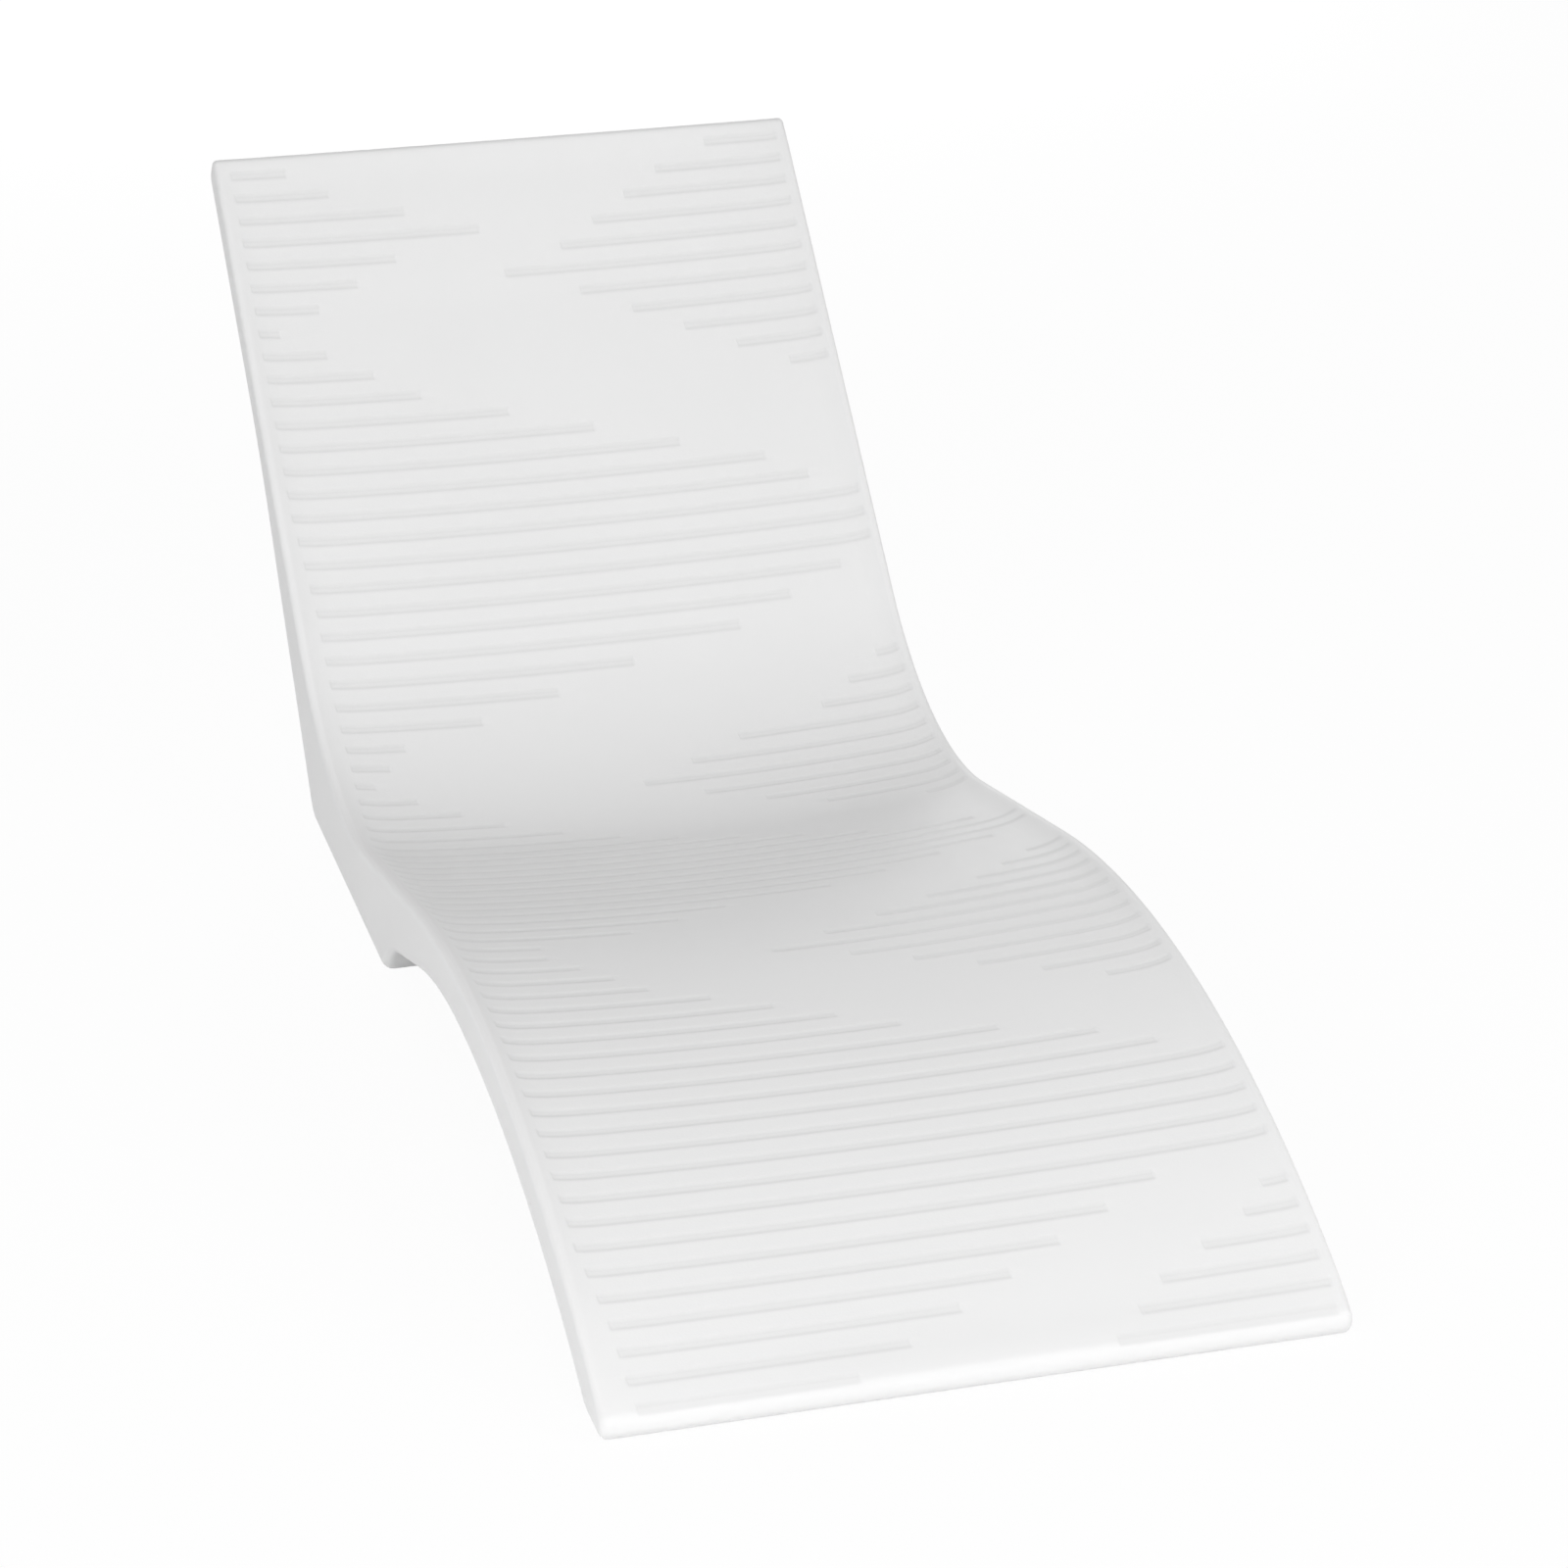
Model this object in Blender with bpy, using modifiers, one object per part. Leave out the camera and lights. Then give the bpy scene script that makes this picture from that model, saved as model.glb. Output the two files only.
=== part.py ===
# In-pool sun lounger: one hollow rotomoulded chaise that is filled with water through a
# threaded port, with a second port low down to drain it. Metres, +Z up, +X towards the foot.
# The origin is on the floor, under the middle of the lounger's length and width.
import math

import bmesh
import bpy
from mathutils import Matrix, Vector

# Overall form, seen from the side
overall_width = 0.690
back_height = 0.6225
back_angle = math.radians(42.6)
back_thickness = 0.042
seat_height = 0.0855
seat_radius = 0.394
knee_height = 0.175
knee_radius = 1.173
knee_distance = 0.5925
leg_thickness = 0.049
nose_radius = 0.0145

# Base and the space under the knees
rear_angle = math.radians(52.8)
heel_distance = 0.233
front_distance = 0.1834
front_angle = math.radians(42.0)
front_height = 0.0448
under_angle = math.radians(18.4)
heel_radius = 0.040
base_toe_radius = 0.020
arch_crest_radius = 0.700
arch_fillet_radius = 0.120
foot_heel_radius = 0.030
rear_blend_radius = 1.000
top_front_radius = 0.012
top_rear_radius = 0.014

# Moulding
wall = 0.006
edge_radius = 0.005
rim_land = 0.008
rim_lift = 0.0005
dish_depth = 0.014
scoop_depth = 0.008
dish_power = 2.2
scoop_power = 24

# Grooves across the lying surface
groove_rows = 71
groove_pitch = 0.0301
groove_width = 0.012
groove_depth = 0.0025
groove_margin = 0.018
first_groove = 0.0285
shortest_groove = 0.008
shortest_gap = 0.020

# Ports, plugs and gaskets; the drain port is the smaller one
port_clearance = 0.0003
thread_lead = 0.003
thread_turns = 3.5
fill_thread_radius = 0.0180
fill_head_radius = 0.0270
fill_above_floor = 0.250
drain_thread_radius = 0.0130
drain_head_radius = 0.0200
drain_above_floor = 0.085
head_thickness = 0.0040
head_chamfer = 0.0010
grip_height = 0.0045
grip_width = 0.0070
sunk_depth = 0.0005
recess_clearance = 0.0040
gasket_thickness = 0.0025
gasket_width = 0.0060
bush_wall = 0.0040
bush_collar = 0.0030
bush_collar_height = 0.0040
bush_length = 0.0120
shank_length = 0.0125
boss_floor = 0.0030
way_reach = 0.0020

# Working sizes of the solids
outline_step = 0.030
overrun = 0.060
cavity_step = 0.075
round_facets = 32

# How deep the dish is along the surface, as shares of the length from the top edge and of its depth
dish_along_shares = ((0.00, 0.00), (0.02, 0.30), (0.10, 0.80), (0.25, 1.00), (0.45, 1.10), (0.65, 1.10),
                     (0.80, 0.90), (0.93, 0.50), (0.98, 0.25), (1.00, 0.00))
# Columns of the dish, as shares of the half width inside the rims
dish_column_shares = (0.00, 0.40, 0.72, 0.90, 0.96, 1.00)

# Where the grooves that start at the left end, and where those that reach the right start: row, then
# share of the grooved width. The ends follow one wave on each side.
left_end_shares = ((1, 0.10), (2, 0.17), (4, 0.43), (5, 0.27), (8, 0.04), (11, 0.27), (12, 0.42), (15, 0.86),
                   (17, 1.00), (19, 1.00), (20, 0.95), (22, 0.75), (23, 0.55), (26, 0.12), (28, 0.05),
                   (31, 0.24), (34, 0.50), (37, 0.78), (38, 0.95), (39, 1.00), (40, 1.00), (41, 0.94),
                   (44, 0.63), (45, 0.45), (47, 0.28), (48, 0.13), (49, 0.13), (52, 0.25), (56, 0.58),
                   (58, 0.85), (60, 1.00), (63, 1.00), (64, 0.97), (65, 0.83), (71, 0.33))
right_start_shares = ((1, 0.87), (2, 0.77), (5, 0.57), (6, 0.46), (7, 0.59), (11, 0.94), (12, 1.00),
                      (23, 1.00), (24, 0.97), (26, 0.85), (27, 0.69), (29, 0.50), (32, 0.78), (33, 0.94),
                      (34, 1.00), (43, 1.00), (44, 0.95), (46, 0.84), (50, 0.46), (51, 0.57), (55, 0.91),
                      (56, 1.00), (65, 1.00), (66, 0.97), (67, 0.93), (69, 0.78), (71, 0.69))
# How far the grooves stay clear of the lounger's sides: row, then share of the groove margin
left_margin_shares = ((1, 1.00), (16, 1.00), (20, 1.50), (27, 1.60), (34, 1.00), (65, 1.00), (68, 1.60),
                      (71, 1.80))
right_margin_shares = ((1, 0.75), (16, 0.65), (71, 0.65))


def ramp(shares, at):
    """Value at a place in a list of (place, value) pairs, straight between them."""
    if at <= shares[0][0]:
        return shares[0][1]
    for (a, low), (b, high) in zip(shares, shares[1:]):
        if at <= b:
            return low + (high - low) * (at - a) / (b - a)
    return shares[-1][1]


def heading(angle):
    """Unit direction in the side plane, as (x, z)."""
    return Vector((math.cos(angle), math.sin(angle)))


def meet(point_a, angle_a, point_b, angle_b):
    """Crossing of two straight lines in the side plane."""
    a, b = heading(angle_a), heading(angle_b)
    offset = point_b - point_a
    along = (offset.x * b.y - offset.y * b.x) / (a.x * b.y - a.y * b.x)
    return point_a + a * along


def fillet(before, corner, after, radius, step):
    """Points of the arc that rounds a corner, limited to the straight runs beside it."""
    to_before, to_after = before - corner, after - corner
    inside = to_before.angle(to_after)
    turn = math.pi - inside
    reach = min(radius * math.tan(turn / 2), to_before.length, to_after.length)
    radius = reach / math.tan(turn / 2)
    centre = corner + (to_before.normalized() + to_after.normalized()).normalized() * (
        radius / math.sin(inside / 2))
    start = corner + to_before.normalized() * reach - centre
    sense = 1 if to_before.cross(to_after) < 0 else -1
    count = max(math.ceil(turn / math.radians(18)), math.ceil(radius * turn / step))
    return [centre + Matrix.Rotation(sense * turn * i / count, 2) @ start for i in range(count + 1)]


class SideView:
    """The lounger's side outline, from named sizes, with the rim line that the surface follows."""

    def __init__(self):
        seat_low = Vector((0, seat_height))
        seat_centre = seat_low + Vector((0, seat_radius))
        knee_centre = Vector((knee_distance, knee_height - knee_radius))
        reach = (seat_centre - knee_centre)
        self.rise = math.atan2(knee_distance, reach.y) - math.acos(
            (seat_radius + knee_radius) / reach.length)
        self.fall = math.acos((knee_radius - knee_height + nose_radius) / (knee_radius - nose_radius))
        under_radius = knee_radius - leg_thickness
        under_fall = math.acos(
            (knee_radius - knee_height + foot_heel_radius) / (under_radius + foot_heel_radius))

        up_back = heading(math.pi - back_angle)
        back_out = heading(math.pi / 2 - back_angle)
        seat_back = seat_centre - back_out * seat_radius
        top_height = back_height + top_front_radius * (
            math.sin(back_angle) + math.cos(back_angle) - 1)
        self.top = seat_back + up_back * ((top_height - seat_back.y) / up_back.y)
        knee_out = heading(math.pi / 2 + self.rise)
        knee_start = knee_centre + knee_out * knee_radius
        foot_out = heading(math.pi / 2 - self.fall)
        foot_end = knee_centre + foot_out * knee_radius
        seat_end = seat_centre - knee_out * seat_radius

        # the rim line as runs of (length, start, heading, radius): a positive radius turns upwards
        self.runs = [((self.top - seat_back).length, self.top, -back_angle, 0),
                     (seat_radius * (back_angle + self.rise), seat_back, -back_angle, seat_radius),
                     ((knee_start - seat_end).length, seat_end, self.rise, 0),
                     (knee_radius * (self.rise + self.fall), knee_start, self.rise, -knee_radius)]
        self.length = sum(run[0] for run in self.runs)

        seat_corner = meet(self.top, -back_angle, seat_end, self.rise)
        knee_corner = meet(seat_end, self.rise, foot_end, -self.fall)
        nose_corner = meet(foot_end, -self.fall, Vector((0, 0)), 0)
        under_point = knee_centre + heading(math.pi / 2 - under_fall) * under_radius
        foot_heel = meet(under_point, -under_fall, Vector((0, 0)), 0)
        # the arch is level under the knees and comes down to the base in a long slope
        crest = knee_centre + Vector((0, under_radius))
        under_corner = meet(crest, 0, under_point, -under_fall)
        front_foot = Vector((front_distance, 0))
        front_top = front_foot + Vector((front_height / math.tan(front_angle), front_height))
        crest_corner = meet(front_top, under_angle, crest, 0)
        crest_radius = min(arch_crest_radius, (crest.x - crest_corner.x) / math.tan(under_angle / 2))
        heel = Vector((-heel_distance, 0))
        rear_top = self.top - back_out * back_thickness
        rear_bend = meet(heel, math.pi - rear_angle, rear_top, -back_angle)
        self.corners = [(self.top, top_front_radius), (seat_corner, seat_radius), (knee_corner, knee_radius),
                        (nose_corner, nose_radius), (foot_heel, foot_heel_radius),
                        (under_corner, under_radius), (crest_corner, crest_radius),
                        (front_top, arch_fillet_radius), (front_foot, base_toe_radius),
                        (heel, heel_radius), (rear_bend, rear_blend_radius), (rear_top, top_rear_radius)]
        self.rear_top, self.rear_bend, self.heel = rear_top, rear_bend, heel

        # bring the middle of the length to x = 0
        across = [point.x for point in self.outline(outline_step)]
        self.shift = Vector((-(min(across) + max(across)) / 2, 0))

    def outline(self, step, inset=0):
        """Closed outline as (x, z) points, in from the outside by a wall if one is asked for."""
        points = []
        count = len(self.corners)
        corners = [corner for corner, _ in self.corners]
        moved = []
        for i, corner in enumerate(corners):
            before, after = corners[i - 1], corners[(i + 1) % count]
            into = math.atan2(*(corner - before).yx)
            out = math.atan2(*(after - corner).yx)
            step_in = heading(into - math.pi / 2) * inset
            step_out = heading(out - math.pi / 2) * inset
            moved.append(meet(corner + step_in, into, corner + step_out, out))
        for i, (corner, radius) in enumerate(self.corners):
            before, after = moved[i - 1], moved[(i + 1) % count]
            turn = (corner - corners[i - 1]).cross(corners[(i + 1) % count] - corner)
            inner = max(radius + (inset if turn > 0 else -inset), wall)
            points += fillet(before, moved[i], after, inner, step)
        shift = getattr(self, "shift", Vector((0, 0)))
        kept = [points[0]]
        for point in points[1:]:
            if (point - kept[-1]).length > edge_radius / 2:
                kept.append(point)
        return [point + shift for point in kept]

    def rear(self, height):
        """Point on the rear face at a height above the floor, and the direction out of it."""
        points = self.outline(outline_step)
        for a, b in zip(points, points[1:] + points[:1]):
            if a.y <= height < b.y and a.x < 0 and b.x < a.x:
                run = (b - a).normalized()
                return a + (b - a) * ((height - a.y) / (b.y - a.y)), Vector((-run.y, run.x))
        raise ValueError("the rear face has no point at this height")

    def rim(self, along):
        """Point on the rim line, and the direction out of the surface, at a length from the top."""
        left = along
        for number, (length, start, angle, radius) in enumerate(self.runs):
            if left <= length or number == len(self.runs) - 1:
                break
            left -= length
        beyond = max(left - length, 0)
        left = min(left, length)
        turned = angle + (left / radius if radius else 0)
        if radius:
            point = start + (heading(turned - math.pi / 2) - heading(angle - math.pi / 2)) * radius
        else:
            point = start + heading(angle) * left
        point = point + heading(turned) * beyond
        return point + self.shift, heading(turned + math.pi / 2)


side = SideView()
dish_half = overall_width / 2 - rim_land
groove_half = overall_width / 2 - groove_margin


def dish_drop(along, across):
    """Depth of the lying surface below the rim line, which its edges stand above by the rim lift."""
    share = min(abs(across) / dish_half, 1)
    depth = dish_depth * (1 - share ** dish_power) + scoop_depth * (1 - share ** scoop_power)
    return depth * ramp(dish_along_shares, along / side.length) - rim_lift


def surface_point(along, across, lift=0):
    """Point on the lying surface, lifted out of it by a height."""
    point, out = side.rim(along)
    point = point + out * (lift - dish_drop(along, across))
    return Vector((point.x, across, point.y))


def new_object(name, mesh, collection):
    shape = bpy.data.objects.new(name, mesh)
    collection.objects.link(shape)
    return shape


def mesh_from(bm, name):
    bmesh.ops.recalc_face_normals(bm, faces=bm.faces)
    mesh = bpy.data.meshes.new(name)
    bm.to_mesh(mesh)
    bm.free()
    return mesh


def plate(name, outline, width, collection):
    """Solid with a side outline, as wide as asked, about the middle plane."""
    bm = bmesh.new()
    face = bm.faces.new([bm.verts.new((p.x, -width / 2, p.y)) for p in outline])
    pushed = bmesh.ops.extrude_face_region(bm, geom=[face])["geom"]
    far = [item for item in pushed if isinstance(item, bmesh.types.BMVert)]
    bmesh.ops.translate(bm, verts=far, vec=(0, width, 0))
    return new_object(name, mesh_from(bm, name), collection)


def add_bars(bm, bars):
    """Adds closed bars, each a grid of low points with a matching grid of high points."""
    for low, high in bars:
        rows, columns = len(low), len(low[0])
        grids = [[[bm.verts.new(p) for p in row] for row in grid] for grid in (low, high)]
        bottom, top = grids
        for grid in grids:
            for i in range(rows - 1):
                for j in range(columns - 1):
                    bm.faces.new((grid[i][j], grid[i + 1][j], grid[i + 1][j + 1], grid[i][j + 1]))
        for i in range(rows - 1):
            for j in (0, columns - 1):
                bm.faces.new((bottom[i][j], bottom[i + 1][j], top[i + 1][j], top[i][j]))
        for j in range(columns - 1):
            for i in (0, rows - 1):
                bm.faces.new((bottom[i][j], bottom[i][j + 1], top[i][j + 1], top[i][j]))


def across_columns(low, high):
    """Places across the width from low to high, with the dish's own columns between them."""
    columns = sorted({sign * share * dish_half for share in dish_column_shares for sign in (-1, 1)})
    near = edge_radius / 2
    return [low] + [c for c in columns if low + near < c < high - near] + [high]


def dish_cutter(name, sink, stations, collection, half=dish_half):
    """Body that hollows the lying surface: its underside is the surface, sunk by a depth."""
    columns = across_columns(-half, half)
    low = [[surface_point(s, v, -sink) for v in columns] for s in stations]
    high = [[surface_point(s, v, overrun) for v in columns] for s in stations]
    bm = bmesh.new()
    add_bars(bm, [(low, high)])
    cutter = new_object(name, mesh_from(bm, name), collection)
    return cutter


def groove_ends(row):
    """Stretches of one row of grooves, as places across the width."""
    width = 2 * groove_half
    left = ramp(left_end_shares, row) * width
    right = ramp(right_start_shares, row) * width
    if right - left < shortest_gap:
        left = right = width
    first = groove_margin * (ramp(left_margin_shares, row) - 1)
    last = width - groove_margin * (ramp(right_margin_shares, row) - 1)
    stretches = [(first, min(left, last)), (right, last)]
    if left >= width:
        stretches = [(first, last)]
    return [(a - groove_half, b - groove_half) for a, b in stretches if b - a > shortest_groove]


def groove_cutter(collection):
    """Every groove of the lying surface, as separate bars in one cutter."""
    bars = []
    for row in range(1, groove_rows + 1):
        middle = first_groove + (row - 1) * groove_pitch
        sides = (middle - groove_width / 2, middle + groove_width / 2)
        for low, high in groove_ends(row):
            columns = across_columns(low, high)
            floor = [[surface_point(s, v, -groove_depth) for v in columns] for s in sides]
            roof = [[surface_point(s, v, groove_depth) for v in columns] for s in sides]
            bars.append((floor, roof))
    bm = bmesh.new()
    add_bars(bm, bars)
    return new_object("groove_cutter", mesh_from(bm, "groove_cutter"), collection)


def turned(name, profile, placement, collection):
    """Turned solid from a half outline of (radius, height) points, outer side first, top to bottom."""
    mesh = bpy.data.meshes.new(name)
    bm = bmesh.new()
    verts = [bm.verts.new((radius, 0, height)) for radius, height in profile]
    for a, b in zip(verts, verts[1:]):
        bm.edges.new((a, b))
    if profile[0][0] > 0:
        bm.edges.new((verts[-1], verts[0]))
    bm.to_mesh(mesh)
    bm.free()
    shape = new_object(name, mesh, collection)
    shape.matrix_world = placement
    screw = shape.modifiers.new("Turn", "SCREW")
    screw.steps = screw.render_steps = round_facets
    screw.use_merge_vertices = True
    screw.merge_threshold = 0.00001
    return shape


def cut(shape, cutter, operation="DIFFERENCE"):
    """Live exact Boolean of a shape with a cutter."""
    boolean = shape.modifiers.new("Cut " + cutter.name, "BOOLEAN")
    boolean.operation = operation
    boolean.solver = "EXACT"
    boolean.object = cutter


def round_edges(shape, radius, segments):
    bevel = shape.modifiers.new("Round", "BEVEL")
    bevel.width = radius
    bevel.segments = segments
    bevel.limit_method = "ANGLE"
    bevel.angle_limit = math.radians(60)


def material(name, colour, roughness, metallic=0.0):
    made = bpy.data.materials.new(name)
    made.use_nodes = True
    shader = made.node_tree.nodes["Principled BSDF"]
    shader.inputs["Base Color"].default_value = (*colour, 1)
    shader.inputs["Roughness"].default_value = roughness
    shader.inputs["Metallic"].default_value = metallic
    return made


class Port:
    """One threaded port: its placement on the rear face and the sizes that its pieces share."""

    def __init__(self, name, thread_radius, head_radius, above_floor):
        self.name = name
        self.thread = thread_radius
        self.head = head_radius
        self.bush = thread_radius + bush_wall
        self.recess = head_radius + recess_clearance
        self.gasket_foot = -(sunk_depth + grip_height + head_thickness + gasket_thickness)
        self.head_foot = self.gasket_foot + gasket_thickness
        self.bush_foot = self.gasket_foot - bush_length
        self.boss_foot = self.bush_foot - boss_floor
        place, out = side.rear(above_floor)
        normal = Vector((out.x, 0, out.y))
        along = Vector((0, 1, 0))
        turn = Matrix((along, normal.cross(along), normal)).transposed().to_4x4()
        self.placement = Matrix.Translation(Vector((place.x, 0, place.y))) @ turn

    def boss(self, collection):
        """Solid left round the port inside the cavity, as thick as the wall all round."""
        radius = self.recess + wall
        profile = [(0, overrun), (radius, overrun), (radius, self.boss_foot), (0, self.boss_foot)]
        half_facet = Matrix.Rotation(math.pi / round_facets, 4, "Z")
        return turned(self.name + "_boss_cutter", profile, self.placement @ half_facet, collection)

    def bore(self, collection):
        """Room for the port's pieces: recess, seat of the moulded-in bush, and way through."""
        bush = self.bush + port_clearance
        collar = bush + bush_collar
        foot = self.bush_foot - port_clearance
        middle = self.gasket_foot - bush_length / 2
        half = bush_collar_height / 2 + port_clearance
        way = self.thread - bush_wall
        end = self.boss_foot - way_reach
        profile = [(0, overrun), (self.recess, overrun), (self.recess, self.gasket_foot),
                   (bush, self.gasket_foot), (bush, middle + half), (collar, middle + half),
                   (collar, middle - half), (bush, middle - half), (bush, foot), (way, foot),
                   (way, end), (0, end)]
        return turned(self.name + "_bore_cutter", profile, self.placement, collection)

    def bush_piece(self, collection):
        """Threaded bush that is moulded into the boss and held there by its collar."""
        inner = self.thread + port_clearance
        top = self.gasket_foot - port_clearance
        foot = self.bush_foot
        middle = self.gasket_foot - bush_length / 2
        half = bush_collar_height / 2
        collar = self.bush + bush_collar
        profile = [(self.bush, top), (self.bush, middle + half), (collar, middle + half),
                   (collar, middle - half), (self.bush, middle - half), (self.bush, foot),
                   (inner, foot), (inner, top)]
        return turned(self.name + "_port_bush", profile, self.placement, collection)

    def gasket(self, collection):
        """Flat ring between the plug's head and the bush."""
        inner = self.thread + port_clearance
        outer = self.thread + gasket_width
        top = self.head_foot - port_clearance
        profile = [(outer, top), (outer, self.gasket_foot), (inner, self.gasket_foot), (inner, top)]
        return turned(self.name + "_gasket", profile, self.placement, collection)

    def plug(self, collection):
        """Plug with a round head, a cupped shank and a bar across the head to turn it by."""
        crown = self.head_foot + head_thickness
        shank_foot = self.head_foot - shank_length
        cup = self.thread - bush_wall
        profile = [(0, crown), (self.head - head_chamfer, crown), (self.head, crown - head_chamfer),
                   (self.head, self.head_foot), (self.thread, self.head_foot),
                   (self.thread, shank_foot), (cup, shank_foot), (cup, self.head_foot),
                   (0, self.head_foot)]
        return turned(self.name + "_plug", profile, self.placement, collection)

    def grip(self, plug, collection):
        """Bar across the head, joined to it."""
        bm = bmesh.new()
        bmesh.ops.create_cube(bm, size=1)
        length = 2 * (self.head - recess_clearance)
        height = grip_height + head_thickness / 2
        top = self.head_foot + head_thickness + grip_height
        bmesh.ops.scale(bm, vec=(length, grip_width, height), verts=bm.verts)
        bmesh.ops.translate(bm, vec=(0, 0, top - height / 2), verts=bm.verts)
        bar = new_object(self.name + "_grip_cutter", mesh_from(bm, self.name + "_grip"), collection)
        bar.matrix_world = self.placement
        cut(plug, bar, "UNION")


def build():
    for shape in list(bpy.data.objects):
        bpy.data.objects.remove(shape, do_unlink=True)
    parts = bpy.data.collections.new("in_pool_sun_lounger")
    cutters = bpy.data.collections.new("cutters")
    for group in (parts, cutters):
        bpy.context.scene.collection.children.link(group)

    shell_plastic = material("moulded_polyethylene", (0.86, 0.87, 0.87), 0.55)
    plug_plastic = material("plug_nylon", (0.80, 0.81, 0.81), 0.40)
    bush_brass = material("bush_brass", (0.72, 0.56, 0.30), 0.35, 1.0)
    seal_rubber = material("gasket_rubber", (0.03, 0.03, 0.03), 0.70)

    # outer form, dished and grooved
    shell = plate("shell", side.outline(outline_step), overall_width, parts)
    shell.data.materials.append(shell_plastic)
    round_edges(shell, edge_radius, 2)
    lands = [first_groove + (i - 0.5) * groove_pitch for i in range(groove_rows + 1)]
    stations = [-overrun] + lands + [side.length + overrun]
    cut(shell, dish_cutter("dish_cutter", 0, stations, cutters))
    cut(shell, groove_cutter(cutters))

    # hollow inside, with the bosses of the ports left standing
    cavity = plate("cavity_cutter", side.outline(cavity_step, wall), overall_width - 2 * wall, cutters)
    count = math.ceil(side.length / cavity_step)
    coarse = [-overrun] + [side.length * i / count for i in range(count + 1)] + [side.length + overrun]
    half = overall_width / 2 - wall / 2
    cut(cavity, dish_cutter("cavity_dish_cutter", wall, coarse, cutters, half))
    ports = [Port("fill", fill_thread_radius, fill_head_radius, fill_above_floor),
             Port("drain", drain_thread_radius, drain_head_radius, drain_above_floor)]
    for port in ports:
        cut(cavity, port.boss(cutters))
    cut(shell, cavity)

    for port in ports:
        cut(shell, port.bore(cutters))
        bush = port.bush_piece(parts)
        bush.data.materials.append(bush_brass)
        gasket = port.gasket(parts)
        gasket.data.materials.append(seal_rubber)
        plug = port.plug(parts)
        plug.data.materials.append(plug_plastic)
        port.grip(plug, cutters)
        middle = port.placement.translation
        out = port.placement.to_3x3().col[2]
        print(port.name, "port at", [round(v, 4) for v in middle], "facing", [round(v, 4) for v in out])

    for cutter in cutters.objects:
        cutter.hide_render = True
        cutter.display_type = "WIRE"
    for shape in parts.objects:
        shape.data.shade_smooth()
    print("rim length", round(side.length, 4), "rise", round(math.degrees(side.rise), 2),
          "fall", round(math.degrees(side.fall), 2))
    print("turn range", round(360 * thread_turns), "lift", round(thread_lead * thread_turns, 4))


build()
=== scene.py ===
import math

import bpy
import numpy as np
from mathutils import Matrix, Vector


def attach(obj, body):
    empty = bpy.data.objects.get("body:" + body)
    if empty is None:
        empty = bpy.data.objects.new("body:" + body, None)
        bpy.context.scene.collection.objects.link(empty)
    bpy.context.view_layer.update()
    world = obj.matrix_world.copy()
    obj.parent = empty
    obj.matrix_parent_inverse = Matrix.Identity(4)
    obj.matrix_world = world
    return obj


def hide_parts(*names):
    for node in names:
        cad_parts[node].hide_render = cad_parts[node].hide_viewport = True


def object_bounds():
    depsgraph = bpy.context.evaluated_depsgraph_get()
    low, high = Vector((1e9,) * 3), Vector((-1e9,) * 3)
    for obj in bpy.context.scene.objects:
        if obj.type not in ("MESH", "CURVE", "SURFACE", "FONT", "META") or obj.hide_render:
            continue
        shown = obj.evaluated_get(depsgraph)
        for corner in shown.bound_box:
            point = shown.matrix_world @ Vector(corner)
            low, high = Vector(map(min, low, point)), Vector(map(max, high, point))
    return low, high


# In-pool sun lounger: the looks of the one-piece moulded chaise, its two water plugs,
# their gaskets and the threaded bushes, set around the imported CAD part.
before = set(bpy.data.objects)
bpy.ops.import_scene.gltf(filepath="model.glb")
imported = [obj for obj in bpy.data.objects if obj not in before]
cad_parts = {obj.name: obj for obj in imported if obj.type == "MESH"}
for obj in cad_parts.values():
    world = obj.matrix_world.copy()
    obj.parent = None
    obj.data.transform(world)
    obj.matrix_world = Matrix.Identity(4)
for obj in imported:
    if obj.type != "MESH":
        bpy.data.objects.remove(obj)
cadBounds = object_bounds()
print("frame loaded:", ", ".join(sorted(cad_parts)))


# helpers for shapes

def onlySelect(piece):
    if bpy.context.mode != "OBJECT":
        bpy.ops.object.mode_set(mode="OBJECT")
    bpy.ops.object.select_all(action="DESELECT")
    piece.select_set(True)
    bpy.context.view_layer.objects.active = piece


def editFaces(piece, wanted):
    # leaves edit mode with only the faces that the test picks selected, then goes back in
    onlySelect(piece)
    bpy.ops.object.mode_set(mode="EDIT")
    bpy.ops.mesh.select_mode(type="FACE")
    bpy.ops.mesh.select_all(action="DESELECT")
    bpy.ops.object.mode_set(mode="OBJECT")
    for face in piece.data.polygons:
        face.select = wanted(face)
    bpy.ops.object.mode_set(mode="EDIT")


def applyModifier(piece, modifier):
    onlySelect(piece)
    bpy.ops.object.modifier_apply(modifier=modifier.name)


def roundOff(piece, width, segments=3, angle=35):
    bevel = piece.modifiers.new("Round", "BEVEL")
    bevel.width = width
    bevel.segments = segments
    bevel.limit_method = "ANGLE"
    bevel.angle_limit = math.radians(angle)
    bevel.harden_normals = False
    applyModifier(piece, bevel)


def settle(piece, placement):
    # puts the piece in place with the place in its mesh
    bpy.context.view_layer.update()
    piece.matrix_world = placement @ piece.matrix_world
    onlySelect(piece)
    bpy.ops.object.transform_apply(location=True, rotation=True, scale=True)
    bpy.ops.object.shade_smooth_by_angle(angle=math.radians(40))


def joined(pieces, name):
    onlySelect(pieces[0])
    for other in pieces[1:]:
        other.select_set(True)
    bpy.ops.object.join()
    pieces[0].name = name
    return pieces[0]


# side form of the lounger

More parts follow.
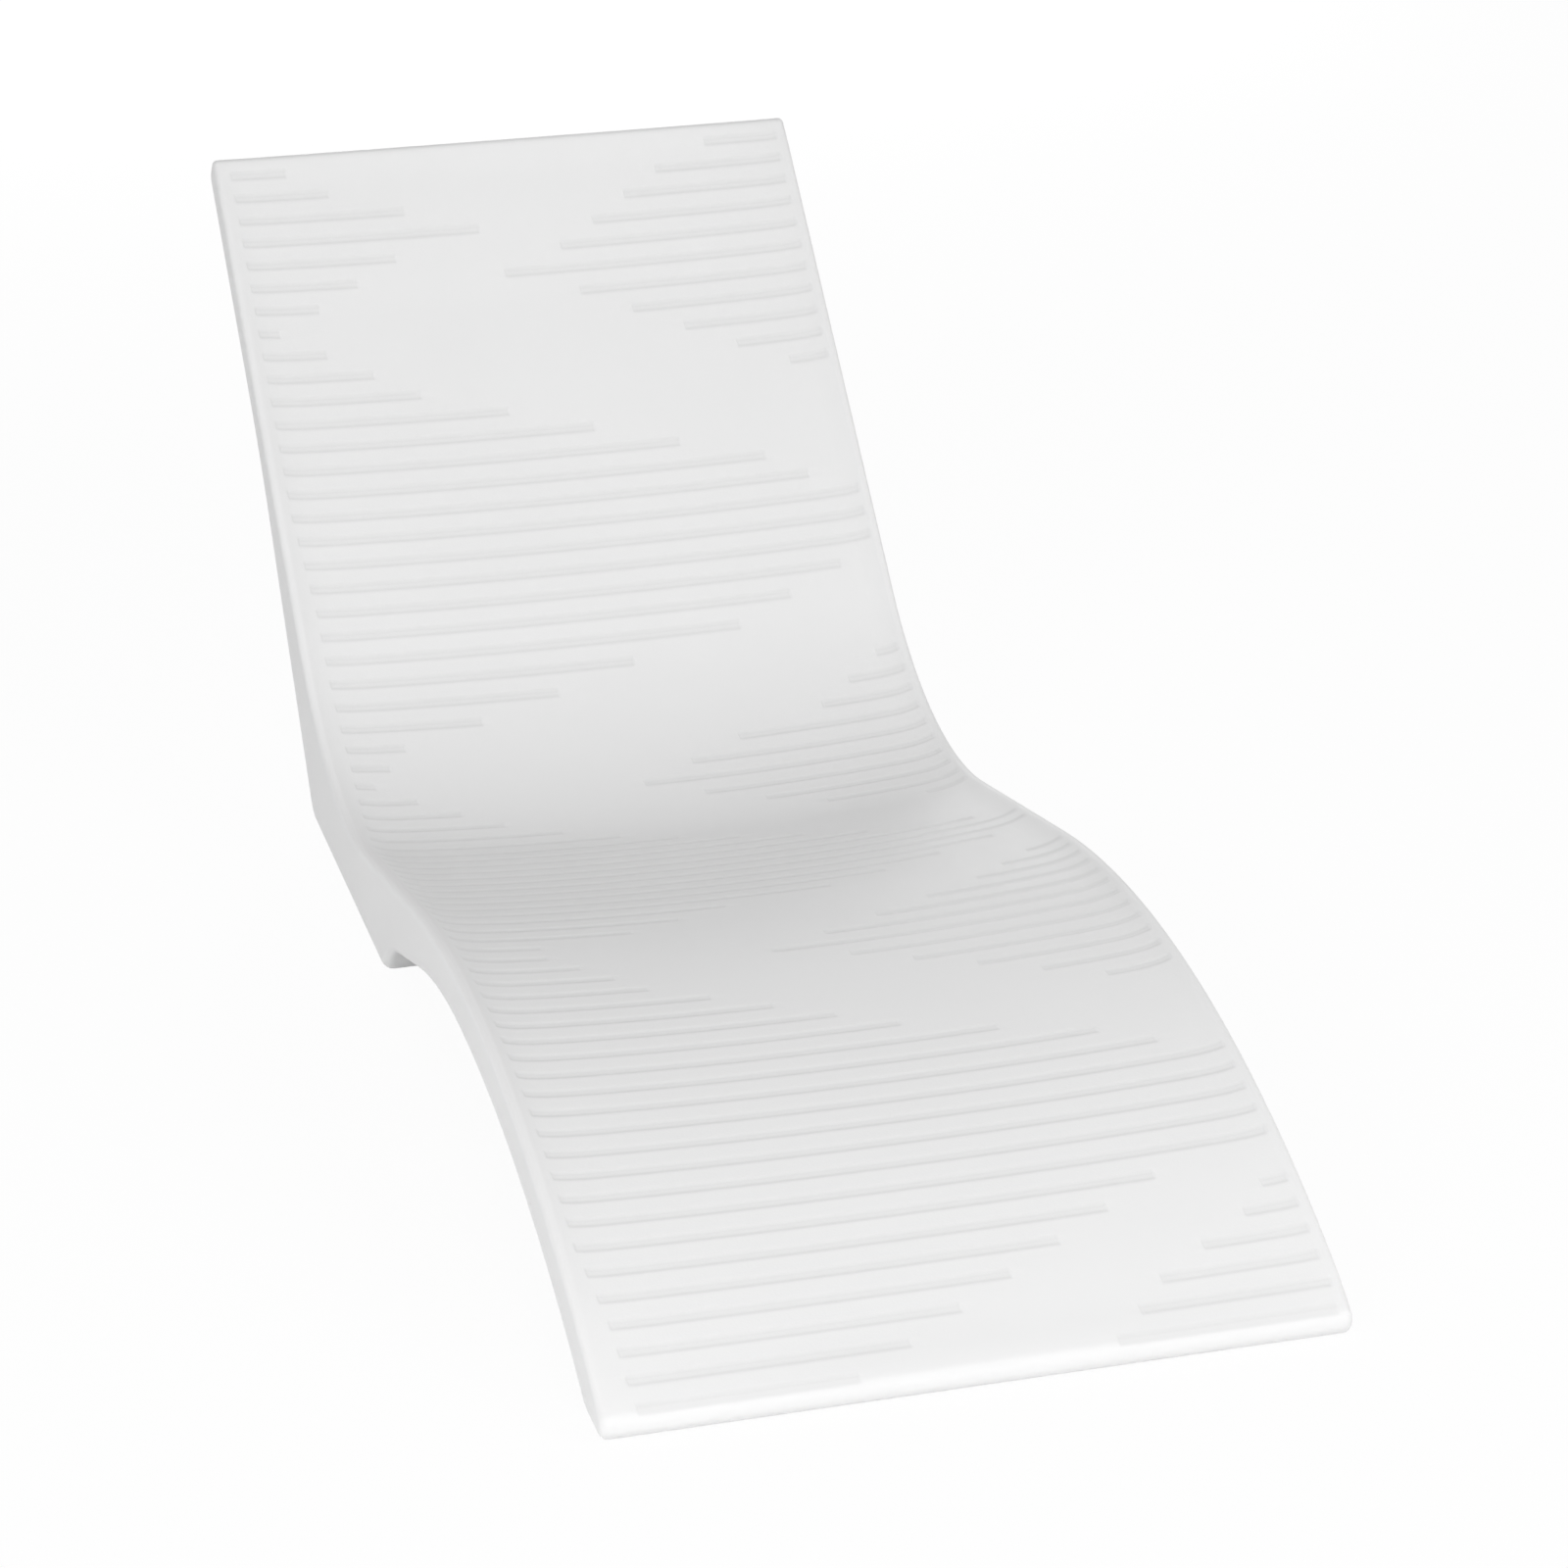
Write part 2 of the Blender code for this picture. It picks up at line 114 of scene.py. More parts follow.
shellForm = {
    "width": 0.690,
    "backHeight": 0.6225,
    "backAngle": math.radians(42.6),
    "backThickness": 0.042,
    "seatHeight": 0.0855,
    "seatRadius": 0.394,
    "kneeHeight": 0.175,
    "kneeRadius": 1.173,
    "kneeDistance": 0.5925,
    "legThickness": 0.049,
    "noseRadius": 0.0145,
    "rearAngle": math.radians(52.8),
    "heelDistance": 0.233,
    "frontDistance": 0.1834,
    "frontAngle": math.radians(42),
    "frontHeight": 0.0448,
    "underAngle": math.radians(18.4),
    "heelRadius": 0.040,
    "toeRadius": 0.020,
    "crestRadius": 0.700,
    "archRadius": 0.120,
    "footHeelRadius": 0.030,
    "rearBlendRadius": 1.0,
    "topFrontRadius": 0.012,
    "topRearRadius": 0.014,
    "rimEdge": 0.005,      # rounding of the long edges
    "topEdge": 0.006,      # rounding of the head end's corners, in plan
    "footEdge": 0.008,     # rounding of the foot's corners, in plan
    "baseEdge": 0.012,     # rounding of the base's upright corners
    "rearEdge": 0.007,
}

lyingSurface = {
    "land": 0.008,
    "dishDepth": 0.014,
    "scoopDepth": 0.008,
    "dishPower": 2.2,
    "scoopPower": 24,
    "scoopBlend": 0.0025,
    "alongShares": ((0.00, 0.00), (0.02, 0.30), (0.10, 0.80), (0.25, 1.00), (0.45, 1.10), (0.65, 1.10),
                    (0.80, 0.90), (0.93, 0.50), (0.98, 0.25), (1.00, 0.00)),
    "rows": 71,
    "pitch": 0.0301,
    "first": 0.0285,
    "grooveDepth": 0.0010,
    # from the head's side of the groove to the foot's: offset, share of the depth, share of the painted shade
    # (heaviest on the head's side)
    "grooveProfile": ((-0.0076, 0.00, 0.12), (-0.0064, 0.10, 0.55), (-0.0050, 0.42, 0.95),
                      (-0.0036, 0.80, 1.00), (-0.0022, 1.00, 0.80), (0.0000, 1.00, 0.42),
                      (0.0022, 1.00, 0.40), (0.0036, 0.80, 0.40), (0.0050, 0.42, 0.35),
                      (0.0064, 0.10, 0.18), (0.0076, 0.00, 0.02)),
    "endSlope": 0.0033,       # how far a groove's end takes to rise
    "endReach": 0.0009,
    "margin": 0.018,
    "shortestGap": 0.020,
    "shortestGroove": 0.008,
    # row, then share of the grooved width: where the left grooves end and the right ones start
    "leftEnds": ((1, 0.10), (2, 0.17), (4, 0.43), (5, 0.27), (8, 0.04), (11, 0.27), (12, 0.42), (15, 0.86),
                 (17, 1.00), (19, 1.00), (20, 0.95), (22, 0.75), (23, 0.55), (26, 0.12), (28, 0.05),
                 (31, 0.24), (34, 0.50), (37, 0.78), (38, 0.95), (39, 1.00), (40, 1.00), (41, 0.94),
                 (44, 0.63), (45, 0.45), (47, 0.28), (48, 0.13), (49, 0.13), (52, 0.25), (56, 0.58),
                 (58, 0.85), (60, 1.00), (63, 1.00), (64, 0.97), (65, 0.83), (71, 0.33)),
    "rightStarts": ((1, 0.87), (2, 0.77), (5, 0.57), (6, 0.46), (7, 0.59), (11, 0.94), (12, 1.00),
                    (23, 1.00), (24, 0.97), (26, 0.85), (27, 0.69), (29, 0.50), (32, 0.78), (33, 0.94),
                    (34, 1.00), (43, 1.00), (44, 0.95), (46, 0.84), (50, 0.46), (51, 0.57), (55, 0.91),
                    (56, 1.00), (65, 1.00), (66, 0.97), (67, 0.93), (69, 0.78), (71, 0.69)),
    "leftMargins": ((1, 1.00), (16, 1.00), (20, 1.50), (27, 1.60), (34, 1.00), (65, 1.00), (68, 1.60),
                    (71, 1.80)),
    "rightMargins": ((1, 0.75), (16, 0.65), (71, 0.65)),
}


def ramp(shares, at):
    return float(np.interp(at, [place for place, _ in shares], [value for _, value in shares]))


def heading(angle):
    return np.array([math.cos(angle), math.sin(angle)])


def crossing(pointA, angleA, pointB, angleB):
    a, b = heading(angleA), heading(angleB)
    offset = pointB - pointA
    along = (offset[0] * b[1] - offset[1] * b[0]) / (a[0] * b[1] - a[1] * b[0])
    return pointA + a * along


class SideForm:
    # side outline as straight runs and arcs, walked from the head end's top edge over the lying
    # surface to the foot and back along the underside

    def __init__(self, form):
        seatLow = np.array([0, form["seatHeight"]])
        seatCentre = seatLow + np.array([0, form["seatRadius"]])
        kneeCentre = np.array([form["kneeDistance"], form["kneeHeight"] - form["kneeRadius"]])
        reach = seatCentre - kneeCentre
        radii = form["seatRadius"] + form["kneeRadius"]
        rise = math.atan2(form["kneeDistance"], reach[1]) - math.acos(radii / np.linalg.norm(reach))
        nose = form["noseRadius"]
        fall = math.acos((form["kneeRadius"] - form["kneeHeight"] + nose) / (form["kneeRadius"] - nose))
        underRadius = form["kneeRadius"] - form["legThickness"]
        heelRound = form["footHeelRadius"]
        underFall = math.acos((form["kneeRadius"] - form["kneeHeight"] + heelRound) / (underRadius + heelRound))
        back = form["backAngle"]
        upBack, backOut = heading(math.pi - back), heading(math.pi / 2 - back)
        seatBack = seatCentre - backOut * form["seatRadius"]
        topHeight = form["backHeight"] + form["topFrontRadius"] * (math.sin(back) + math.cos(back) - 1)
        top = seatBack + upBack * ((topHeight - seatBack[1]) / upBack[1])
        kneeOut = heading(math.pi / 2 + rise)
        kneeStart = kneeCentre + kneeOut * form["kneeRadius"]
        footEnd = kneeCentre + heading(math.pi / 2 - fall) * form["kneeRadius"]
        seatEnd = seatCentre - kneeOut * form["seatRadius"]
        self.rimLength = (np.linalg.norm(top - seatBack) + form["seatRadius"] * (back + rise)
                          + np.linalg.norm(kneeStart - seatEnd) + form["kneeRadius"] * (rise + fall))
        floor = np.zeros(2)
        underPoint = kneeCentre + heading(math.pi / 2 - underFall) * underRadius
        crest = kneeCentre + np.array([0, underRadius])
        frontFoot = np.array([form["frontDistance"], 0])
        frontTop = frontFoot + np.array([form["frontHeight"] / math.tan(form["frontAngle"]),
                                         form["frontHeight"]])
        heel = np.array([-form["heelDistance"], 0])
        rearTop = top - backOut * form["backThickness"]
        edges = form["rimEdge"], form["footEdge"], form["baseEdge"], form["rearEdge"], form["topEdge"]
        rim, foot, base, rear, head = edges
        # corner, its radius, and the plan rounding of the edge beside it
        corners = [(top, form["topFrontRadius"], head),
                   (crossing(top, -back, seatEnd, rise), form["seatRadius"], rim),
                   (crossing(seatEnd, rise, footEnd, -fall), form["kneeRadius"], rim),
                   (crossing(footEnd, -fall, floor, 0), nose, foot),
                   (crossing(underPoint, -underFall, floor, 0), heelRound, rim + 0.002),
                   (crossing(crest, 0, underPoint, -underFall), underRadius, rim),
                   (crossing(frontTop, form["underAngle"], crest, 0), form["crestRadius"], rim),
                   (frontTop, form["archRadius"], rim + 0.003),
                   (frontFoot, form["toeRadius"], base),
                   (heel, form["heelRadius"], base),
                   (crossing(heel, math.pi - form["rearAngle"], rearTop, -back), form["rearBlendRadius"], rear),
                   (rearTop, form["topRearRadius"], head)]
        self.arcs = []
        count = len(corners)
        for i, (corner, radius, edge) in enumerate(corners):
            into = corner - corners[i - 1][0]
            out = corners[(i + 1) % count][0] - corner
            intoAngle = math.atan2(into[1], into[0])
            turn = (math.atan2(out[1], out[0]) - intoAngle + math.pi) % (2 * math.pi) - math.pi
            reach = radius * math.tan(abs(turn) / 2)
            start = corner - heading(intoAngle) * reach
            side = 1 if turn > 0 else -1
            centre = start + heading(intoAngle + side * math.pi / 2) * radius
            self.arcs.append({"start": start, "centre": centre, "radius": radius, "angle": intoAngle,
                              "turn": turn, "reach": reach, "edge": edge})
        for i, arc in enumerate(self.arcs):
            after = self.arcs[(i + 1) % count]
            arc["end"] = arc["centre"] + self.spoke(arc, abs(arc["turn"])) * arc["radius"]
            arc["run"] = np.linalg.norm(after["start"] - arc["end"])
        self.topReach = self.arcs[0]["reach"]
        across = [point[0] for point, _ in (self.walk(i, u) for i in range(count)
                                            for u in np.linspace(0, self.arcLength(i), 60))]
        self.shift = -(min(across) + max(across)) / 2

    def spoke(self, arc, turned):
        # unit vector from the arc's centre to its point after a turn
        side = 1 if arc["turn"] > 0 else -1
        return heading(arc["angle"] - side * math.pi / 2 + side * turned)

    def arcLength(self, i):
        return self.arcs[i]["radius"] * abs(self.arcs[i]["turn"])

    def walk(self, i, u):
        # point and outward normal at a length past the start of arc i, on to its straight run
        arc = self.arcs[i]
        length = self.arcLength(i)
        side = 1 if arc["turn"] > 0 else -1
        if u <= length:
            spoke = self.spoke(arc, u / arc["radius"])
            return arc["centre"] + spoke * arc["radius"], spoke * -side
        run = heading(arc["angle"] + arc["turn"])
        return arc["end"] + run * (u - length), self.spoke(arc, abs(arc["turn"])) * -side

    def rim(self, s):
        # point and normal at a length along the lying surface, over the foot's nose as well
        left = s - self.topReach
        for i in range(4):
            piece = self.arcLength(i) + self.arcs[i]["run"] if i else self.arcs[i]["run"]
            if left <= piece or i == 3:
                return self.walk(i, left if i else left + self.arcLength(0))
            left -= piece


side = SideForm(shellForm)
print("rim length", round(side.rimLength, 4), "shift", round(side.shift, 4))


# lying surface

dishHalf = shellForm["width"] / 2 - lyingSurface["land"]
grooveHalf = shellForm["width"] / 2 - lyingSurface["margin"]
smoothPlaces = np.linspace(-0.05, 1.05, 2201)
rawShares = np.interp(smoothPlaces, *zip(*lyingSurface["alongShares"]))
kernel = np.exp(-np.linspace(-3, 3, 61) ** 2 / 2)
smoothShares = np.convolve(np.pad(rawShares, 30, mode="edge"), kernel / kernel.sum(), mode="valid")


def dishDrop(s, across):
    look = lyingSurface
    inside = np.maximum(dishHalf - np.abs(across), 0)
    inside = inside * inside / (inside + look["scoopBlend"])
    share = 1 - inside / dishHalf
    depth = look["dishDepth"] * (1 - share ** look["dishPower"])
    depth = depth + look["scoopDepth"] * (1 - share ** look["scoopPower"])
    return depth * np.interp(s / side.rimLength, smoothPlaces, smoothShares)


def grooveStretches(row):
    look = lyingSurface
    width = 2 * grooveHalf
    left = ramp(look["leftEnds"], row) * width
    right = ramp(look["rightStarts"], row) * width
    if right - left < look["shortestGap"]:
        left = right = width
    first = look["margin"] * (ramp(look["leftMargins"], row) - 1)
    last = width - look["margin"] * (ramp(look["rightMargins"], row) - 1)
    stretches = [(first, min(left, last)), (right, last)]
    if left >= width:
        stretches = [(first, last)]
    return [(a - grooveHalf, b - grooveHalf) for a, b in stretches if b - a > look["shortestGroove"]]


def grooveShares(row, offset, across):
    # shares of the groove's depth and of its painted shade at an offset from its middle line, with soft ends
    look = lyingSurface
    places, depths, paintedShadeShares = zip(*look["grooveProfile"])
    inside = np.zeros_like(across)
    for a, b in grooveStretches(row):
        share = (b - a) / 2 - np.abs(across - (a + b) / 2) + look["endReach"]
        share = np.clip(share / look["endSlope"], 0, 1)
        inside = np.maximum(inside, share * share * (3 - 2 * share))
    return inside * np.interp(offset, places, depths), inside * np.interp(offset, places, paintedShadeShares)


# columns across the width: close together by the rims, and drawn to the ends of each row's grooves
nearRim = np.array([0, 1.2, 2.6, 4.2, 6, 8, 10.5, 13.5, 17, 21, 26, 32, 40]) / 1000
leftColumns = -dishHalf + nearRim
middleColumns = np.linspace(leftColumns[-1], -leftColumns[-1], 45)[1:-1]
baseColumns = np.concatenate([leftColumns, middleColumns, -leftColumns[::-1]])
endOffsets = np.array([-0.9, 0.2, 1.3, 2.4]) / 1000


def rowColumns(row):
    look = lyingSurface
    moved, targets = [], []
    last = -1
    stretches = grooveStretches(row)
    first = look["margin"] * (ramp(look["leftMargins"], row) - 1) - grooveHalf
    final = grooveHalf - look["margin"] * (ramp(look["rightMargins"], row) - 1)
    # rows whose grooves stay off one side keep their columns in step with their neighbours there
    if not stretches or stretches[0][0] > first + 0.001:
        stretches = [(first, first + 0.02)] + stretches
    if stretches[-1][1] < final - 0.001:
        stretches = stretches + [(final - 0.02, final)]
    for a, b in stretches:
        for place, offsets in ((a, endOffsets), (b, -endOffsets[::-1])):
            near = int(np.argmin(np.abs(baseColumns - place)))
            first = min(max(near - (1 if place == a else 2), last + 1, 1), len(baseColumns) - 5)
            moved += list(range(first, first + 4))
            targets += list(place + offsets)
            last = first + 3
    moved, targets = np.array(moved), np.array(targets)
    knots = dict(zip(moved, targets - baseColumns[moved]))
    for j in range(len(baseColumns)):
        if np.min(np.abs(moved - j)) >= 4:
            knots[j] = 0
    knots[0] = knots[len(baseColumns) - 1] = 0
    places = sorted(knots)
    columns = baseColumns + np.interp(range(len(baseColumns)), places, [knots[j] for j in places])
    return np.maximum.accumulate(columns)


def surfaceStations():
    # (place along the rim, row of the columns, next row, blend, offset from that row's groove)
    look = lyingSurface
    pitch, first, rows = look["pitch"], look["first"], look["rows"]
    close = [place for place, _, _ in look["grooveProfile"]]
    reach = close[-1]
    stations = [(s, 1, 1, 0, None) for s in np.linspace(side.topReach, first - reach, 4)[:-1]]
    for row in range(1, rows + 1):
        middle = first + (row - 1) * pitch
        stations += [(middle + c, row, row, 0, c) for c in close]
        if row < rows:
            for offset in (0.0104, pitch / 2, pitch - 0.0104):
                blend = (offset - reach) / (pitch - 2 * reach)
                stations.append((middle + offset, row, row + 1, blend, None))
    return stations


def edgeRound(r):
    # rounding between the side wall and the surface: inset of the outline, distance from the wall
    angles = np.radians([0, 18, 36, 54, 72, 90])
    return r * (1 - np.sin(angles)), r * (1 - np.cos(angles))


def shellRing(point, normal, edge, columns, drop):
    # one line of points across the width, from the left wall over the surface to the right wall
    half = shellForm["width"] / 2
    inset, away = edgeRound(edge)
    outer = half - edge
    limit = 0.300
    # columns near the rim make room for a wider rounding
    spread = np.where(np.abs(columns) > limit,
                      np.sign(columns) * (limit + (np.abs(columns) - limit) * (outer - limit - 0.0012)
                                          / (dishHalf - limit)), columns)
    if edge <= shellForm["rimEdge"] + 1e-6:
        spread = columns
    wallInset = edge + 0.001
    across = np.concatenate([[-half], -half + away, spread, half - away[::-1], [half]])
    lift = np.concatenate([[-wallInset], -inset, -drop, -inset[::-1], [-wallInset]])
    ring = point[None, :] + normal[None, :] * lift[:, None]
    return np.column_stack([ring[:, 0] + side.shift, across, ring[:, 1]])


def blendEdge(u, length, before, after):
    return before + (after - before) * min(max(u / length, 0), 1)


def buildShell():
    # the grooved surface has no operator that gives it, so its grid is laid in mesh code
    look, form = lyingSurface, shellForm
    columnsOf = {row: rowColumns(row) for row in range(1, look["rows"] + 1)}
    rings, paintedShadeRows = [], []
    turnLength = 0.035
    stations = surfaceStations()
    for s, row, after, blend, offset in stations:
        point, normal = side.rim(s)
        columns = columnsOf[row] * (1 - blend) + columnsOf[after] * blend
        drop = dishDrop(s, columns)
        # shade is each point's share of the painted shade that darkens the grooves in the base colour
        sink = shade = np.zeros_like(columns)
        if offset is not None:
            sink, shade = grooveShares(row, offset, columns)
        edge = blendEdge(s - side.topReach, turnLength, form["topEdge"], form["rimEdge"])
        if s > side.rimLength - turnLength:
            edge = blendEdge(s - side.rimLength + turnLength, turnLength, form["rimEdge"], form["footEdge"])
        rings.append(shellRing(point, normal, edge, columns, drop + sink * look["grooveDepth"]))
        paintedShadeRows.append(shade)
    surfaceCount = len(rings)
    # the rest of the way round: nose, foot, underside, base, rear face and head end
    reached = stations[-1][0] - side.rimLength
    lastColumns, firstColumns = columnsOf[look["rows"]], columnsOf[1]
    rest = []
    for i in list(range(3, len(side.arcs))) + [0]:
        arc = side.arcs[i]
        length = side.arcLength(i)
        turnSteps = max(3, math.ceil(abs(math.degrees(arc["turn"])) / (7 if arc["radius"] < 0.1 else 2.5)))
        turnPlaces = list(np.linspace(0, length, turnSteps + 1))
        if i == 3:
            turnPlaces = [u for u in turnPlaces if u > reached + 0.0008]
        runSteps = max(1, math.ceil(arc["run"] / 0.030))
        runPlaces = list(length + arc["run"] * np.arange(1, runSteps) / runSteps) if i else []
        following = side.arcs[(i + 1) % len(side.arcs)]["edge"]
        for u in turnPlaces:
            if i == 0 and u > length - 1e-9:
                continue
            rest.append((i, u, arc["edge"]))
        for u in runPlaces:
            share = (u - length) / arc["run"]
            share = share * share * (3 - 2 * share)
            rest.append((i, u, arc["edge"] * (1 - share) + following * share))
    for k, (i, u, edge) in enumerate(rest):
        point, normal = side.walk(i, u)
        blend = (k + 1) / (len(rest) + 1)
        columns = lastColumns * (1 - blend) + firstColumns * blend
        drop = np.zeros_like(columns)
        if i == 0:
            s = side.topReach * u / side.arcLength(0)
            drop = dishDrop(s, columns)
        rings.append(shellRing(point, normal, edge, columns, drop))
    points = np.array(rings)
    low, high = (np.array(corner) for corner in cadBounds)
    points = np.clip(points, low, high)    # a tenth of a millimetre of arc between the CAD's facets
    count, width = points.shape[:2]
    index = np.arange(count * width).reshape(count, width)
    after = np.roll(index, -1, axis=0)
    quads = np.stack([index[:, :-1], after[:, :-1], after[:, 1:], index[:, 1:]], axis=-1).reshape(-1, 4)
    faces = quads.tolist() + [index[::-1, 0].tolist(), index[:, -1].tolist()]
    mesh = bpy.data.meshes.new("mouldedShell")
    mesh.from_pydata(points.reshape(-1, 3).tolist(), [], faces)
    # painted shade of the grooves, kept on the points for the shell's material
    paintedShadeGrid = np.zeros((count, width))
    beside = (width - len(baseColumns)) // 2
    paintedShadeGrid[:surfaceCount, beside:width - beside] = np.array(paintedShadeRows)
    mesh.attributes.new("paintedGrooveShade", "FLOAT", "POINT").data.foreach_set("value", paintedShadeGrid.ravel())
    shell = bpy.data.objects.new("mouldedShell", mesh)
    bpy.context.scene.collection.objects.link(shell)
    onlySelect(shell)
    bpy.ops.object.mode_set(mode="EDIT")
    bpy.ops.mesh.select_all(action="SELECT")
    bpy.ops.mesh.normals_make_consistent(inside=False)
    bpy.ops.object.mode_set(mode="OBJECT")
    bpy.ops.object.shade_smooth()
    print("shell:", surfaceCount, "lines over the lying surface,", count, "in all,", width, "columns")
    return shell


mouldedShell = buildShell()


# ports

portSizes = {
    "sunk": 0.0005,
    "gripHeight": 0.0045,
    "gripWidth": 0.0070,
    "headThickness": 0.0040,
    "gasketThickness": 0.0025,
    "gasketWidth": 0.0060,
    "recessRoom": 0.0040,
    "mouthRound": 0.0025,
    "bushWall": 0.0040,
    "bushLength": 0.0120,
    "shankLength": 0.0125,
    "lead": 0.0030,
    "threadDepth": 0.0010,
    "clearance": 0.0003,
    "facets": 96,
}
ports = {
    "fill": {"thread": 0.0180, "head": 0.0270, "height": 0.250},
    "drain": {"thread": 0.0130, "head": 0.0200, "height": 0.085},
}


def rearPlace(height):
    # place on the rear face at a height, with the axis out of the face as the piece's own Z
    arc = side.arcs[9]
    run = heading(arc["angle"] + arc["turn"])
    point = arc["end"] + run * ((height - arc["end"][1]) / run[1])
    normal = Vector((-math.sin(shellForm["rearAngle"]), 0, -math.cos(shellForm["rearAngle"])))
    along = Vector((0, 1, 0))
    turn = Matrix((along, normal.cross(along), normal)).transposed().to_4x4()
    return Matrix.Translation((point[0] + side.shift, 0, point[1])) @ turn


def addRing(name, inner, outer, low, high):
    facets = portSizes["facets"]
    bpy.ops.mesh.primitive_circle_add(vertices=facets, radius=inner, fill_type="NOTHING", location=(0, 0, low))
    ring = bpy.context.active_object
    ring.name = name
    bpy.ops.object.mode_set(mode="EDIT")
    bpy.ops.mesh.select_all(action="SELECT")
    bpy.ops.mesh.extrude_region_move()
    bpy.ops.transform.resize(value=(outer / inner, outer / inner, 1))
    bpy.ops.mesh.select_all(action="SELECT")
    bpy.ops.mesh.extrude_region_move(TRANSFORM_OT_translate={"value": (0, 0, high - low)})
    bpy.ops.mesh.select_all(action="SELECT")
    bpy.ops.mesh.normals_make_consistent(inside=False)
    bpy.ops.object.mode_set(mode="OBJECT")
    return ring


def addThread(name, root, crest, low, turns):
    # one helical ridge, its triangle standing from the root to the crest
    lead = portSizes["lead"]
    bpy.ops.object.select_all(action="DESELECT")
    bpy.ops.mesh.primitive_circle_add(vertices=4, radius=1, fill_type="NOTHING", location=(0, 0, 0))
    ridge = bpy.context.active_object
    ridge.name = name
    wide = lead * 0.42
    narrow = lead * 0.10
    section = [(root, -wide), (crest, -narrow), (crest, narrow), (root, wide)]
    for vertex, (radius, height) in zip(ridge.data.vertices, section):
        vertex.co = (radius, 0, height + low)
    screw = ridge.modifiers.new("Thread", "SCREW")
    screw.angle = 2 * math.pi
    screw.screw_offset = lead
    screw.iterations = turns
    screw.steps = screw.render_steps = 48
    applyModifier(ridge, screw)
    bpy.ops.object.mode_set(mode="EDIT")
    bpy.ops.mesh.select_all(action="DESELECT")
    bpy.ops.mesh.select_mode(type="EDGE")
    bpy.ops.mesh.select_non_manifold()
    bpy.ops.mesh.edge_face_add()
    bpy.ops.mesh.select_all(action="SELECT")
    bpy.ops.mesh.normals_make_consistent(inside=False)
    bpy.ops.object.mode_set(mode="OBJECT")
    return ridge


def portLevels():
    size = portSizes
    gasketFoot = -(size["sunk"] + size["gripHeight"] + size["headThickness"] + size["gasketThickness"])
    return {"gasketFoot": gasketFoot, "headFoot": gasketFoot + size["gasketThickness"],
            "crown": gasketFoot + size["gasketThickness"] + size["headThickness"],
            "bushFoot": gasketFoot - size["bushLength"]}


def cutPort(shell, port, placement):
    # recess with a soft mouth, the bush's seat and the way in, taken out of the shell
    size, level = portSizes, portLevels()
    recess = port["head"] + size["recessRoom"]
    seat = port["thread"] + size["bushWall"] + size["clearance"]
    way = port["thread"] - size["bushWall"]
    bpy.ops.object.select_all(action="DESELECT")
    top = 0.006
    bpy.ops.mesh.primitive_cylinder_add(vertices=size["facets"], radius=way, depth=0.006,
                                        location=(0, 0, level["bushFoot"] - 0.0035))
    cutter = bpy.context.active_object
    steps = [(seat, level["bushFoot"] - size["clearance"]), (seat, level["gasketFoot"]),
             (recess, level["gasketFoot"]), (recess, -size["mouthRound"])]
    for k in range(1, 6):
        angle = math.radians(18 * k)
        steps.append((recess + size["mouthRound"] * (1 - math.cos(angle)),
                      -size["mouthRound"] * (1 - math.sin(angle))))
    steps.append((recess + size["mouthRound"] + 0.0004, top))
    editFaces(cutter, lambda face: face.normal.z > 0.9)
    radius, height = way, level["bushFoot"] - 0.0005
    for nextRadius, nextHeight in steps:
        bpy.ops.mesh.extrude_region_move(TRANSFORM_OT_translate={"value": (0, 0, nextHeight - height)})
        bpy.ops.transform.resize(value=(nextRadius / radius, nextRadius / radius, 1))
        radius, height = nextRadius, nextHeight
    bpy.ops.mesh.select_all(action="SELECT")
    bpy.ops.mesh.normals_make_consistent(inside=False)
    bpy.ops.object.mode_set(mode="OBJECT")
    settle(cutter, placement)
    boolean = shell.modifiers.new("Port", "BOOLEAN")
    boolean.operation = "DIFFERENCE"
    boolean.solver = "EXACT"
    boolean.object = cutter
    applyModifier(shell, boolean)
    bpy.data.objects.remove(cutter, do_unlink=True)


def buildBush(name, port, placement):
    size, level = portSizes, portLevels()
    outer = port["thread"] + size["bushWall"]
    inner = port["thread"] + size["threadDepth"] + 2 * size["clearance"]
    top = level["gasketFoot"] - size["clearance"]
    bpy.ops.object.select_all(action="DESELECT")
    bush = addRing(name, inner, outer, level["bushFoot"], top)
    roundOff(bush, 0.0005)
    crest = port["thread"] + 0.0001
    thread = addThread(name + "Thread", inner + 0.0003, crest, level["bushFoot"] + 0.0018, 3)
    bush = joined([bush, thread], name)
    settle(bush, placement)
    return bush


def buildGasket(name, port, placement):
    size, level = portSizes, portLevels()
    bpy.ops.object.select_all(action="DESELECT")
    gasket = addRing(name, port["thread"] + size["clearance"], port["thread"] + size["gasketWidth"],
                     level["gasketFoot"], level["headFoot"] - size["clearance"])
    roundOff(gasket, 0.0006)
    settle(gasket, placement)
    return gasket


